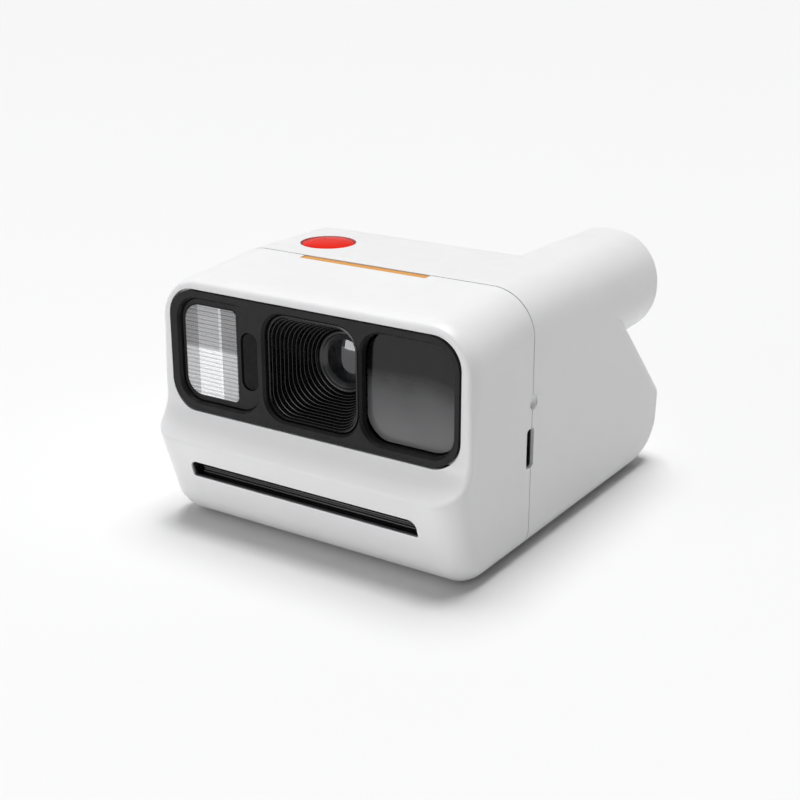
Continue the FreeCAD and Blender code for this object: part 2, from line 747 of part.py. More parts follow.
def gear(at, teeth, phase, boreR):
    pitch = 360.0 / teeth
    r = gearModule * teeth / 2
    shape = [(-0.30, r - 1.15 * gearModule), (-0.21, r), (-0.10, r + 0.8 * gearModule),
             (0.10, r + 0.8 * gearModule), (0.21, r), (0.30, r - 1.15 * gearModule)]
    points = []
    for i in range(teeth):
        for share, radius in shape:
            points.append(along(at, phase + (i + share) * pitch, radius))
    blank = prismX(points, [0] * len(points), *gearX)
    return blank.cut(rodX(*at, boreR, gearX[0] - 1, gearX[1] + 1))


def roller(at):
    return rodX(*at, rollerR, -29.5, 29.5).fuse(rodX(*at, 1.2, gearX[0], 34.4))


def driveMotor():
    can = rodX(*pinionAt, 5.0, -33.0, -22.2)
    flats = box(-34, -21, pinionAt[0] - 6, pinionAt[0] + 6, pinionAt[1] - 4.0, pinionAt[1] + 4.0)
    return can.common(flats).cut(rodX(*pinionAt, 0.55, -34, -24))


def filmSlotBezel():
    lip = [r - 0.08 for r in slotR]
    liner = prismY(cornersOf(0.08 - slotX, slotX - 0.08, slotZ[0] + 0.08, slotZ[1] - 0.08), lip, -60, -46.0)
    liner = liner.common(camBody(0.4))
    flange = box(-slotX - 1.0, slotX + 1.0, -46.8, -45.9, slotZ[0] - 1.0, slotZ[1] + 1.0)
    return liner.fuse(flange).cut(pillY(0.5 - slotX, slotX - 0.5, slotZ[0] + 0.4, slotZ[1] - 0.4, 0.3, -60, -40))


def filmShield():
    body = box(-29.6, 29.6, -47.6, -46.6, 13.3, 16.6)
    ribs = []
    for z in (13.85, 14.95, 16.05):
        ribs.append(rodX(-47.6, z, 0.36, -29.6, 29.6))
    return body.fuse(ribs)


def usbPort():
    can = prismX(cornersOf(portY[0] + 0.12, portY[1] - 0.12, portZ[0] + 0.12, portZ[1] - 0.12),
                 [0.8] * 4, 34.8, 41.3)
    mouth = prismX(cornersOf(portY[0] + 0.5, portY[1] - 0.5, portZ[0] + 0.5, portZ[1] - 0.5),
                   [0.7] * 4, 36.5, 43)
    tongue = box(36.3, 40.8, splitY - 0.85, splitY - 0.15, 23.2, 28.6)
    return can.cut(mouth).fuse(tongue)


def shellScrews():
    screws = []
    for side in (-1, 1):
        for y in screwYs:
            x = side * screwX
            head = rodZ(x, y, screwHeadR, 0.75, 1.85)
            cross = box(x - 0.9, x + 0.9, y - 0.2, y + 0.2, 0.7, 1.2)
            cross = cross.fuse(box(x - 0.2, x + 0.2, y - 0.9, y + 0.9, 0.7, 1.2))
            screws.append(head.cut(cross).fuse(rodZ(x, y, screwShankR - 0.02, 1.8, 8.0)))
    return Part.makeCompound(screws)


save("front_shell", frontShell())
save("rear_shell", rearShell())
save("film_door", filmDoor())
save("door_hinge_pin", rodX(hingeY, hingeR, pinR, -36.4, 36.4))
save("door_latch", doorLatch())
save("accent_strip", prismZ(cornersOf(stripX[0] + 0.05, stripX[1] - 0.05, stripY[0] + 0.05, stripY[1] - 0.05),
                            [0.4] * 4, 60.8, 61.28))
save("front_panel", frontPanel())
save("flash_housing", flashHousing())
save("flash_lens", flashLens())
save("flash_reflector", flashReflector())
save("flash_tube", rodZ(-27.8, panelY + 7.0, 1.5, 32.6, 52.6))
save("photocell_window", pillY(cellX[0] + 0.1, cellX[1] - 0.1, cellZ[0] + 0.1, cellZ[1] - 0.1, 2.2,
                               panelY + 1.3, panelY + 2.1))
save("photocell_sensor", box(-18.3, -15.5, panelY + 2.2, panelY + 4.4, 39.1, 45.9))
save("lens_cone", lensCone())
save("lens_barrel", lensBarrel())
save("front_lens", lensElement(lensR, lensFrontY + 1.6, lensFrontY + 2.4, 1.4, 0.6))
save("rear_lens", lensElement(lensR - 0.4, -28.3, -27.5, 0.4, 0.6))
save("shutter_case", shutterCase())
save("shutter_blade", shutterBlade())
save("aperture_vane", apertureVane())
save("viewfinder_window", finderWindow())
save("viewfinder_tunnel", finderTunnel())
save("eyepiece_lens", eyepieceLens())
save("eyecup", eyecup())
save("shutter_button", shutterButton())
save("shutter_spring", shutterSpring())
save("shutter_switch", shutterSwitch())
save("power_button", slopeKey(*powerAt))
save("flash_button", slopeKey(*flashKeyAt))
save("counter_window", counterWindow())
save("counter_display", counterDisplay())
save("button_board", keyBoard())
save("film_chamber", filmChamber())
save("film_pack", filmPack())
save("mirror", mirror())
save("light_box", lightBox())
save("roller_frame", rollerFrame())
save("upper_roller", roller(upperAt))
save("lower_roller", roller(lowerAt))
save("upper_roller_gear", gear(upperAt, rollerTeeth, upperPhase, 1.2))
save("lower_roller_gear", gear(lowerAt, rollerTeeth, lowerPhase, 1.2))
save("idler_gear", gear(idlerAt, idlerTeeth, idlerPhase, 0.8))
save("idler_axle", rodX(*idlerAt, 0.75, gearX[0] - 0.6, -33.2))
save("motor_pinion", gear(pinionAt, pinionTeeth, pinionPhase, 0.5))
save("motor_shaft", rodX(*pinionAt, 0.5, gearX[0] - 0.3, -24.2))
save("drive_motor", driveMotor())
save("film_slot_bezel", filmSlotBezel())
save("film_shield", filmShield())
save("battery", box(-39.6, -33.8, -11.0, 24.0, 20.5, 40.5))
save("flash_capacitor", rodY(-34.6, 49.6, 4.5, -28.0, 8.0))
save("main_board", box(33.4, 34.6, -30.0, 25.0, 10.0, 30.6))
save("usb_port", usbPort())
save("charge_light", rodX(splitY + 0.6, lightZ, dimpleR - 0.05, 39.0, 41.2))
save("shell_screws", shellScrews())
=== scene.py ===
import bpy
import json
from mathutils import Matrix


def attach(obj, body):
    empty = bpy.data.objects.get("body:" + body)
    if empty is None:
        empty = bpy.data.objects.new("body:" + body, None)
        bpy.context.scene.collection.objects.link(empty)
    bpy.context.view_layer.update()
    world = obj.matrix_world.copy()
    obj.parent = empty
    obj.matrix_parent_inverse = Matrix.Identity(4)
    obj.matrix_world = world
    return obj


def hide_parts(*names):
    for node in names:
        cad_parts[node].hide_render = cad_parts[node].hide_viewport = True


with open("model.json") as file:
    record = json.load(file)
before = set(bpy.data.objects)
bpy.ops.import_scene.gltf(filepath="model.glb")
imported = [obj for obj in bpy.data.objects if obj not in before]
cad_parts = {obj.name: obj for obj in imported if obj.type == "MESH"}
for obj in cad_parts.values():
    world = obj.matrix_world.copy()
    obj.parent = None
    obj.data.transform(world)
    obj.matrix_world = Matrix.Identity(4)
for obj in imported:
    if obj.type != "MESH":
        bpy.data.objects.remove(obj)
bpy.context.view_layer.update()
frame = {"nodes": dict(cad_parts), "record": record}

import json
import math

import bmesh
import bpy
from mathutils import Vector

nodes = frame["nodes"]
record = frame["record"]
slotOf = {sub["node"]: sub["material_slot"] for sub in record["subparts"]}
bodyOf = {node: body for body, members in record["behaviour"]["bodies"].items() for node in members}
mm = 0.001


# stage, light and camera

studio = {
    "floorSize": 14.0,
    "floorColor": (0.79, 0.79, 0.79),
    "floorRoughness": 0.9,
    "floorGloss": 0.1,
    "skyLeft": (0.50, 0.50, 0.504),  # the room is brighter on its left side
    "skyRight": (0.03, 0.03, 0.031),
    "keyStrength": 2.95,
    "keyAngle": 34,                  # degrees across, so that shadows stay soft
    "keyTilt": (-8, -2),             # degrees about X and Y
    "softboxAt": (-0.42, -1.15, 0.15),
    "softboxSize": (0.62, 0.29),
    "softboxPower": 2.9,
    "softboxAim": (0.0, -0.04, 0.03),
}

viewpoint = {
    "place": (0.17709, -0.27735, 0.14040),
    "turn": (70.364, 0.0, 33.426),
    "lens": 63.16,
    "sensor": 36.0,
}


def linkObject(name, data):
    piece = bpy.data.objects.new(name, data)
    bpy.context.scene.collection.objects.link(piece)
    return piece


def makeSoftbox():
    panel = bpy.data.lights.new("softbox", "AREA")
    panel.shape = "RECTANGLE"
    panel.size, panel.size_y = studio["softboxSize"]
    panel.energy = studio["softboxPower"]
    lamp = linkObject("softbox", panel)
    lamp.location = studio["softboxAt"]
    aim = Vector(studio["softboxAim"]) - lamp.location
    lamp.rotation_euler = aim.to_track_quat("-Z", "Y").to_euler()


def makeRoom():
    world = bpy.data.worlds.new("studioWorld")
    bpy.context.scene.world = world
    world.use_nodes = True
    room = world.node_tree
    around = room.nodes.new("ShaderNodeTexCoord")
    sides = room.nodes.new("ShaderNodeSeparateXYZ")
    blend = room.nodes.new("ShaderNodeValToRGB")
    half = room.nodes.new("ShaderNodeMath")
    half.operation = "MULTIPLY_ADD"   # turns -1 to 1 into 0 to 1
    half.inputs[1].default_value = 0.5
    half.inputs[2].default_value = 0.5
    blend.color_ramp.elements[0].color = (*studio["skyLeft"], 1)
    blend.color_ramp.elements[1].color = (*studio["skyRight"], 1)
    room.links.new(around.outputs["Generated"], sides.inputs["Vector"])
    room.links.new(sides.outputs["X"], half.inputs[0])
    room.links.new(half.outputs["Value"], blend.inputs["Fac"])
    room.links.new(blend.outputs["Color"], room.nodes["Background"].inputs["Color"])


def makeFloor():
    bm = bmesh.new()
    bmesh.ops.create_grid(bm, x_segments=1, y_segments=1, size=studio["floorSize"] / 2)
    mesh = bpy.data.meshes.new("floor")
    bm.to_mesh(mesh)
    bm.free()
    floor = linkObject("floor", mesh)
    paint = bpy.data.materials.new("floorPaint")
    paint.use_nodes = True
    shader = paint.node_tree.nodes["Principled BSDF"]
    shader.inputs["Base Color"].default_value = (*studio["floorColor"], 1)
    shader.inputs["Roughness"].default_value = studio["floorRoughness"]
    shader.inputs["Specular IOR Level"].default_value = studio["floorGloss"]
    mesh.materials.append(paint)


def makeKey():
    key = bpy.data.lights.new("keySun", "SUN")
    key.energy = studio["keyStrength"]
    key.angle = math.radians(studio["keyAngle"])
    lamp = linkObject("keySun", key)
    lamp.rotation_euler = [math.radians(a) for a in studio["keyTilt"]] + [0]


def makeCamera():
    data = bpy.data.cameras.new("camera")
    data.lens = viewpoint["lens"]
    data.sensor_width = viewpoint["sensor"]
    eye = linkObject("camera", data)
    eye.location = viewpoint["place"]
    eye.rotation_euler = [math.radians(a) for a in viewpoint["turn"]]
    bpy.context.scene.camera = eye


bpy.context.scene.view_settings.view_transform = "Standard"
makeRoom()
makeFloor()
makeKey()
makeSoftbox()
makeCamera()
print("stage, light and camera ready")


# finishes

def newFinish(name, **sockets):
    finish = bpy.data.materials.new(name)
    finish.use_nodes = True
    shader = finish.node_tree.nodes["Principled BSDF"]
    for socket, value in sockets.items():
        shader.inputs[socket.replace("_", " ")].default_value = value
    return finish, finish.node_tree, shader


def addNode(tree, kind, **values):
    node = tree.nodes.new("ShaderNode" + kind)
    for key, value in values.items():
        if key in node.inputs:
            node.inputs[key].default_value = value
        else:
            setattr(node, key, value)
    return node


# object coordinates, stretched or turned for a pattern
def objectPattern(tree, stretch=(1, 1, 1), turn=(0, 0, 0)):
    place = addNode(tree, "TexCoord")
    mapping = addNode(tree, "Mapping", Scale=stretch, Rotation=turn)
    tree.links.new(place.outputs["Object"], mapping.inputs["Vector"])
    return mapping.outputs["Vector"]


def noiseOn(tree, vector, scale, detail=3.0):
    noise = addNode(tree, "TexNoise", Scale=scale, Detail=detail)
    tree.links.new(vector, noise.inputs["Vector"])
    return noise.outputs["Fac"]


noiseSpan = (0.35, 0.65)             # where nearly all of a noise's values lie


def spread(tree, factor, low, high, lowIn=noiseSpan[0], highIn=noiseSpan[1]):
    remap = addNode(tree, "MapRange")
    for socket, value in (("From Min", lowIn), ("From Max", highIn), ("To Min", low), ("To Max", high)):
        remap.inputs[socket].default_value = value
    tree.links.new(factor, remap.inputs["Value"])
    return remap.outputs["Result"]


def twoTone(tree, factor, first, second):
    ramp = addNode(tree, "ValToRGB")
    ramp.color_ramp.elements[0].position = noiseSpan[0]
    ramp.color_ramp.elements[0].color = (*first, 1)
    ramp.color_ramp.elements[1].position = noiseSpan[1]
    ramp.color_ramp.elements[1].color = (*second, 1)
    tree.links.new(factor, ramp.inputs["Fac"])
    return ramp.outputs["Color"]


def bumped(tree, shader, height, strength, distance, under=None):
    bump = addNode(tree, "Bump", Strength=strength, Distance=distance)
    tree.links.new(height, bump.inputs["Height"])
    if under:
        tree.links.new(under, bump.inputs["Normal"])
    tree.links.new(bump.outputs["Normal"], shader.inputs["Normal"])
    return bump.outputs["Normal"]


bumpHeight = {"wave": 0.0004, "grain": 0.00006}     # metres
noiseDetail = {"polish": 5.0, "grain": 2.0, "wave": 1.0}


# plastic, rubber or metal: slow colour drift, uneven gloss, fine grain
def moulded(name, look, **sockets):
    finish, tree, shader = newFinish(name, **sockets)
    vector = objectPattern(tree, look.get("stretch", (1, 1, 1)))
    drift = noiseOn(tree, vector, look["driftScale"])
    tree.links.new(twoTone(tree, drift, look["colour"], look["shade"]), shader.inputs["Base Color"])
    polish = noiseOn(tree, vector, look["polishScale"], noiseDetail["polish"])
    tree.links.new(spread(tree, polish, *look["rough"]), shader.inputs["Roughness"])
    grain = noiseOn(tree, vector, look["grainScale"], noiseDetail["grain"])
    waves = noiseOn(tree, vector, look.get("waveScale", 90), noiseDetail["wave"])
    under = bumped(tree, shader, waves, look.get("waveDepth", 0.0), bumpHeight["wave"])
    bumped(tree, shader, grain, look["grainDepth"], bumpHeight["grain"], under)
    return finish


plastics = {
    "white_shell": {"colour": (0.835, 0.835, 0.84), "shade": (0.815, 0.815, 0.822), "driftScale": 35,
                    "rough": (0.30, 0.40), "polishScale": 420, "grainScale": 5200, "grainDepth": 0.16,
                    "waveScale": 60, "waveDepth": 0.03},
    "black_panel": {"colour": (0.012, 0.012, 0.0125), "shade": (0.017, 0.017, 0.018), "driftScale": 90,
                    "rough": (0.42, 0.54), "polishScale": 600, "grainScale": 4200, "grainDepth": 0.40},
    "black_gloss": {"colour": (0.010, 0.010, 0.011), "shade": (0.015, 0.015, 0.016), "driftScale": 120,
                    "rough": (0.14, 0.22), "polishScale": 300, "grainScale": 2600, "grainDepth": 0.01},
    "black_rubber": {"colour": (0.022, 0.022, 0.022), "shade": (0.034, 0.034, 0.035), "driftScale": 260,
                     "rough": (0.62, 0.82), "polishScale": 700, "grainScale": 2600, "grainDepth": 0.7},
    "red_button": {"colour": (0.76, 0.018, 0.006), "shade": (0.68, 0.012, 0.004), "driftScale": 150,
                   "rough": (0.16, 0.24), "polishScale": 350, "grainScale": 2400, "grainDepth": 0.02},
    "grey_plastic": {"colour": (0.060, 0.061, 0.066), "shade": (0.085, 0.086, 0.092), "driftScale": 110,
                     "rough": (0.45, 0.60), "polishScale": 500, "grainScale": 3800, "grainDepth": 0.45},
    "gear_plastic": {"colour": (0.74, 0.71, 0.60), "shade": (0.66, 0.63, 0.52), "driftScale": 300,
                     "rough": (0.34, 0.46), "polishScale": 900, "grainScale": 4200, "grainDepth": 0.18},
    "battery_wrap": {"colour": (0.10, 0.12, 0.17), "shade": (0.14, 0.16, 0.22), "driftScale": 140,
                     "rough": (0.22, 0.34), "polishScale": 260, "grainScale": 1500, "grainDepth": 0.3,
                     "waveScale": 300, "waveDepth": 0.25},
    "display": {"colour": (0.010, 0.012, 0.012), "shade": (0.018, 0.022, 0.020), "driftScale": 400,
                "rough": (0.10, 0.16), "polishScale": 500, "grainScale": 3000, "grainDepth": 0.05},
}

metals = {
    "steel": {"colour": (0.50, 0.50, 0.51), "shade": (0.60, 0.60, 0.61), "driftScale": 60,
              "rough": (0.24, 0.38), "polishScale": 900, "grainScale": 2600, "grainDepth": 0.22,
              "stretch": (1, 14, 14)},
    "bright_metal": {"colour": (0.86, 0.86, 0.87), "shade": (0.80, 0.80, 0.81), "driftScale": 200,
                     "rough": (0.10, 0.20), "polishScale": 400, "grainScale": 1800, "grainDepth": 0.10},
    "mirror": {"colour": (0.92, 0.92, 0.92), "shade": (0.90, 0.90, 0.91), "driftScale": 60,
               "rough": (0.02, 0.05), "polishScale": 90, "grainScale": 900, "grainDepth": 0.01},
}

finishes = {name: moulded(name, look) for name, look in plastics.items()}
softGloss = {"red_button": 0.04, "black_panel": 0.20}
for name, level in softGloss.items():
    finishes[name].node_tree.nodes["Principled BSDF"].inputs["Specular IOR Level"].default_value = level
ribBlack = {"colour": (0.004, 0.004, 0.0045), "shade": (0.007, 0.007, 0.008), "driftScale": 200,
            "rough": (0.26, 0.30), "polishScale": 800, "grainScale": 3600, "grainDepth": 0.0}
finishes["ribBlack"] = moulded("ribBlack", ribBlack)
ringBlack = {"colour": (0.030, 0.030, 0.032), "shade": (0.040, 0.040, 0.042), "driftScale": 200,
             "rough": (0.18, 0.26), "polishScale": 900, "grainScale": 3600, "grainDepth": 0.01}
finishes["ringBlack"] = moulded("ringBlack", ringBlack)
finishes.update({name: moulded(name, look, Metallic=1.0) for name, look in metals.items()})


rubMarks = {"scale": 500, "detail": 6.0, "from": 0.55, "to": 0.8}     # few and faint, on all glass
skinRoughness = 0.02


def rubbed(tree, vector, low, high):
    marks = noiseOn(tree, vector, rubMarks["scale"], rubMarks["detail"])
    return spread(tree, marks, low, high, rubMarks["from"], rubMarks["to"])


# polished clear part: see-through body and a mirror-like skin
def glassFinish(name, look):
    finish, tree, shader = newFinish(name, Alpha=look["alpha"], IOR=look["ior"], Coat_Weight=look["coat"],
                                     Coat_Roughness=skinRoughness)
    vector = objectPattern(tree)
    drift = noiseOn(tree, vector, look["driftScale"])
    tree.links.new(twoTone(tree, drift, look["colour"], look["shade"]), shader.inputs["Base Color"])
    tree.links.new(rubbed(tree, vector, *look["rough"]), shader.inputs["Roughness"])
    return finish


glasses = {
    "clear_lens": {"colour": (0.012, 0.013, 0.015), "shade": (0.018, 0.018, 0.021), "driftScale": 120,
                   "alpha": 0.80, "ior": 1.75, "coat": 0.6, "rough": (0.02, 0.04)},
    "tinted_lens": {"colour": (0.050, 0.051, 0.054), "shade": (0.065, 0.066, 0.070), "driftScale": 70,
                    "alpha": 0.86, "ior": 1.45, "coat": 0.0, "rough": (0.03, 0.06)},
    "smoked_lens": {"colour": (0.010, 0.010, 0.011), "shade": (0.015, 0.015, 0.016), "driftScale": 200,
                    "alpha": 0.88, "ior": 1.2, "coat": 0.0, "rough": (0.12, 0.22)},
}
finishes.update({name: glassFinish(name, look) for name, look in glasses.items()})


def axisValue(tree, vector, axis):
    split = addNode(tree, "SeparateXYZ")
    tree.links.new(vector, split.inputs["Vector"])
    return split.outputs[axis]


# grey bands with hard edges; stops are (position, grey)
def stepRamp(tree, factor, stops):
    ramp = addNode(tree, "ValToRGB")
    band = ramp.color_ramp
    band.interpolation = "CONSTANT"
    while len(band.elements) < len(stops):
        band.elements.new(1.0)
    for element, (position, grey) in zip(band.elements, stops):
        element.position = position
        element.color = (grey, grey, grey * 1.01, 1)
    tree.links.new(factor, ramp.inputs["Fac"])
    return ramp.outputs["Color"]


paneReflectionBands = {
    "x": (-0.0353, -0.0203), "split": 0.0433, "splitBlur": 0.0001,
    # painted reflection: a grey for each band, above and below the middle; the lower greys go over 1, so
    # these bands give back more light than reaches them
    "upperReflection": [(0.0, 0.42), (0.25, 0.66), (0.66, 0.95), (0.71, 0.42)],
    "lowerReflection": [(0.0, 0.86), (0.25, 1.35), (0.66, 1.45), (0.71, 0.84)],
    "ribsPerMetre": 2037.0,          # ruled with one fine line to every two ribs
    "lineDark": (0.72, 0.72, 0.73), "lineLight": (1.0, 1.0, 1.0),
    "alpha": 0.93, "ior": 1.5, "coat": 0.4, "coatRoughness": 0.03,
    "polishScale": 600, "polishDetail": 4.0, "rough": (0.10, 0.20),
}


# flash pane: painted reflection of the folded reflector, in vertical bands, greyer above the middle, finely
# ruled
def paintedPaneFinish():
    look = paneReflectionBands
    finish, tree, shader = newFinish("ribGlassPaintedReflection", Alpha=look["alpha"], IOR=look["ior"],
                                     Coat_Weight=look["coat"], Coat_Roughness=look["coatRoughness"])
    vector = objectPattern(tree)
    across = spread(tree, axisValue(tree, vector, "X"), 0.0, 1.0, *look["x"])
    height = axisValue(tree, vector, "Z")
    upperReflection = stepRamp(tree, across, look["upperReflection"])
    lowerReflection = stepRamp(tree, across, look["lowerReflection"])
    above = spread(tree, height, 0.0, 1.0, look["split"], look["split"] + look["splitBlur"])
    reflectionHalves = addNode(tree, "Mix", data_type="RGBA")
    tree.links.new(above, reflectionHalves.inputs["Factor"])
    tree.links.new(lowerReflection, reflectionHalves.inputs[6])
    tree.links.new(upperReflection, reflectionHalves.inputs[7])
    waveScale = look["ribsPerMetre"] / 20 * math.pi   # a line comes every pi / (10 * scale) metres
    lines = addNode(tree, "TexWave", bands_direction="Z", Scale=waveScale, Distortion=0.0)
    tree.links.new(vector, lines.inputs["Vector"])
    ruled = addNode(tree, "Mix", data_type="RGBA", blend_type="MULTIPLY")
    ruled.inputs["Factor"].default_value = 1.0
    shading = twoTone(tree, lines.outputs["Fac"], look["lineDark"], look["lineLight"])
    tree.links.new(reflectionHalves.outputs[2], ruled.inputs[6])
    tree.links.new(shading, ruled.inputs[7])
    tree.links.new(ruled.outputs[2], shader.inputs["Base Color"])
    polish = noiseOn(tree, vector, look["polishScale"], look["polishDetail"])
    tree.links.new(spread(tree, polish, *look["rough"]), shader.inputs["Roughness"])
    return finish


finishes["ribGlassPaintedReflection"] = paintedPaneFinish()


finderReflectionLook = {
    "alpha": 0.92, "driftScale": 90, "driftDetail": 2.0, "waver": 0.004,
    "z": (0.034, 0.056),
    # painted reflection: greys from the bottom of the window (0) to its top (1)
    "tones": [(0.0, (0.20, 0.20, 0.205)), (0.42, (0.10, 0.10, 0.103)), (0.66, (0.004, 0.004, 0.0045)),
              (1.0, (0.002, 0.002, 0.002))],
    "rough": (0.08, 0.13),
}


# window with a painted reflection: nearly black above, greyer towards the bottom
def paintedFinderFinish():
    look = glasses["tinted_lens"]
    finish, tree, shader = newFinish("finderPaintedReflection", Alpha=finderReflectionLook["alpha"], IOR=look["ior"],
                                     Coat_Weight=look["coat"], Coat_Roughness=skinRoughness)
    vector = objectPattern(tree)
    drift = noiseOn(tree, vector, finderReflectionLook["driftScale"], finderReflectionLook["driftDetail"])
    height = addNode(tree, "Math", operation="MULTIPLY_ADD")
    tree.links.new(drift, height.inputs[0])
    height.inputs[1].default_value = finderReflectionLook["waver"]
    tree.links.new(axisValue(tree, vector, "Z"), height.inputs[2])
    share = spread(tree, height.outputs["Value"], 0.0, 1.0, *finderReflectionLook["z"])
    ramp = addNode(tree, "ValToRGB")
    band = ramp.color_ramp
    low, *middle, high = finderReflectionLook["tones"]
    band.elements[0].color = (*low[1], 1)
    band.elements[1].color = (*high[1], 1)
    for position, tone in middle:
        band.elements.new(position).color = (*tone, 1)
    tree.links.new(share, ramp.inputs["Fac"])
    tree.links.new(ramp.outputs["Color"], shader.inputs["Base Color"])
    tree.links.new(rubbed(tree, vector, *finderReflectionLook["rough"]), shader.inputs["Roughness"])
    return finish


finishes["finderPaintedReflection"] = paintedFinderFinish()


strip = {
    "ink": (0.78, 0.36, 0.05), "paleInk": (0.70, 0.29, 0.04), "inkScale": 700, "inkDetail": 4.0,
    "roughness": 0.32, "screenScale": 5000, "screenDepth": 0.12, "screenHeight": 0.00005,
}


# printed strip: one amber ink with a fine screen
def stripFinish():
    finish, tree, shader = newFinish("accent", Roughness=strip["roughness"])
    vector = objectPattern(tree)
    ink = noiseOn(tree, vector, strip["inkScale"], strip["inkDetail"])
    tree.links.new(twoTone(tree, ink, strip["ink"], strip["paleInk"]), shader.inputs["Base Color"])
    screen = noiseOn(tree, vector, strip["screenScale"], 1.0)
    bumped(tree, shader, screen, strip["screenDepth"], strip["screenHeight"])
    return finish


finishes["accent"] = stripFinish()


board = {
    "mask": (0.020, 0.130, 0.055, 1), "maskPale": (0.026, 0.160, 0.070, 1), "track": (0.050, 0.230, 0.110, 1),
    "trackScale": 420.0, "trackWidth": 0.06, "trackDepth": 0.3, "trackHeight": 0.00005,
    "polishScale": 600, "rough": (0.30, 0.45), "turn": 90,
}


# solder mask over copper: straight tracks, paler where copper lies beneath
def boardFinish():
    finish, tree, shader = newFinish("board")
    vector = objectPattern(tree)
    tracks = addNode(tree, "TexBrick", Scale=board["trackScale"], offset=0.5)
    tracks.inputs["Color1"].default_value = board["mask"]
    tracks.inputs["Color2"].default_value = board["maskPale"]
    tracks.inputs["Mortar"].default_value = board["track"]
    tracks.inputs["Mortar Size"].default_value = board["trackWidth"]
    turned = objectPattern(tree, turn=(0, math.radians(board["turn"]), 0))
    tree.links.new(turned, tracks.inputs["Vector"])
    tree.links.new(tracks.outputs["Color"], shader.inputs["Base Color"])
    bumped(tree, shader, tracks.outputs["Fac"], board["trackDepth"], board["trackHeight"])
    polish = noiseOn(tree, vector, board["polishScale"])
    tree.links.new(spread(tree, polish, *board["rough"]), shader.inputs["Roughness"])
    return finish


finishes["board"] = boardFinish()

for node, piece in nodes.items():
    piece.data.materials.clear()
    piece.data.materials.append(finishes[slotOf[node]])
print("finishes on", len(nodes), "frame nodes")


# making pieces

def finishMesh(bm, name, finish, sharpAngle=32):
    bmesh.ops.recalc_face_normals(bm, faces=bm.faces[:])
    mesh = bpy.data.meshes.new(name)
    bm.to_mesh(mesh)
    bm.free()
    mesh.shade_smooth()
    mesh.set_sharp_from_angle(angle=math.radians(sharpAngle))
    mesh.materials.append(finish)
    return linkObject(name, mesh)


def standFor(piece, *replaced):
    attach(piece, bodyOf[replaced[0]])
    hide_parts(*replaced)


weld = {"gap": 1e-6, "flat": 0.6}    # metres, degrees
easeAngle = 35                       # degrees; sharper edges than this are rounded


# a copy of a frame node with its hard edges rounded, so that they catch the light
def eased(node, width, segments):
    mesh = nodes[node].data.copy()
    bm = bmesh.new()
    bm.from_mesh(mesh)
    bmesh.ops.remove_doubles(bm, verts=bm.verts[:], dist=weld["gap"])
    bmesh.ops.dissolve_limit(bm, angle_limit=math.radians(weld["flat"]), verts=bm.verts[:],
                             edges=bm.edges[:])
    bm.to_mesh(mesh)
    bm.free()
    mesh.shade_smooth()
    mesh.set_sharp_from_angle(angle=math.radians(easeAngle))
    mesh.materials.clear()
    mesh.materials.append(finishes[slotOf[node]])
    piece = linkObject(node + "_eased", mesh)
    bevel = piece.modifiers.new("bevel", "BEVEL")
    bevel.width = width * mm
    bevel.segments = segments
    bevel.limit_method = "ANGLE"
    bevel.angle_limit = math.radians(easeAngle)
    bevel.harden_normals = True
    bevel.use_clamp_overlap = True
    standFor(piece, node)


spunGap = 1e-7                       # metres; points on the axis meet within this


# closed profile of (radius, along) pairs in millimetres, spun about an axis through centre
def lathe(name, profile, centre, axis, finish, steps=96, sharpAngle=32):
    bm = bmesh.new()
    across = Vector((1, 0, 0))
    along = Vector(axis)
    points = [Vector(centre) * mm + (across * radius + along * reach) * mm for radius, reach in profile]
    verts = [bm.verts.new(point) for point in points]
    edges = [bm.edges.new((verts[i], verts[(i + 1) % len(verts)])) for i in range(len(verts))
             if profile[i][0] > 0 or profile[(i + 1) % len(verts)][0] > 0]
    bmesh.ops.spin(bm, geom=verts + edges, cent=Vector(centre) * mm, axis=along, angle=math.tau,
                   steps=steps, use_merge=True)
    bmesh.ops.remove_doubles(bm, verts=bm.verts[:], dist=spunGap)
    return finishMesh(bm, name, finish, sharpAngle)


# points of a shallow spherical cap that bulges to -Y, from its rim to its pole
def arcProfile(radius, rise, start, count=14):
    ball = (radius * radius + rise * rise) / (2 * rise)
    turn = math.asin(radius / ball)
    points = []
    for i in range(count + 1):
        a = turn * (1 - i / count)
        points.append((ball * math.sin(a), start - (rise - ball * (1 - math.cos(a)))))
    return points


cornerSteps = 10


# one flat face that looks along -Y; radii go bottom left, bottom right, top right, top left
def roundedPlate(bm, x0, x1, z0, z1, y, radii):
    corners = [bm.verts.new((x * mm, y * mm, z * mm)) for x, z in ((x0, z0), (x1, z0), (x1, z1), (x0, z1))]
    bm.faces.new(corners)
    for corner, radius in zip(corners, radii):
        bmesh.ops.bevel(bm, geom=[corner], offset=radius * mm, offset_type="OFFSET", affect="VERTICES",
                        segments=cornerSteps, profile=0.5, material=-1)


# closes flat faces into a solid; gives back the corners of the far side
def extrudeFaces(bm):
    result = bmesh.ops.extrude_face_region(bm, geom=bm.faces[:], use_keep_orig=True)
    return [item for item in result["geom"] if isinstance(item, bmesh.types.BMVert)]


# flash: ribbed pane, folded reflector and tube

flash = {
    "x": (-35.3, -20.3), "z": (31.8, 53.4), "front": -45.3, "back": -43.6,
    "radii": (4.2, 1.0, 1.0, 4.2),
    "ribs": 44, "ribDepth": 0.14, "sharp": 12,
}
flat = {"snap": 0.01, "near": 0.2}   # how close, in ribs and in millimetres, a point counts as on a line


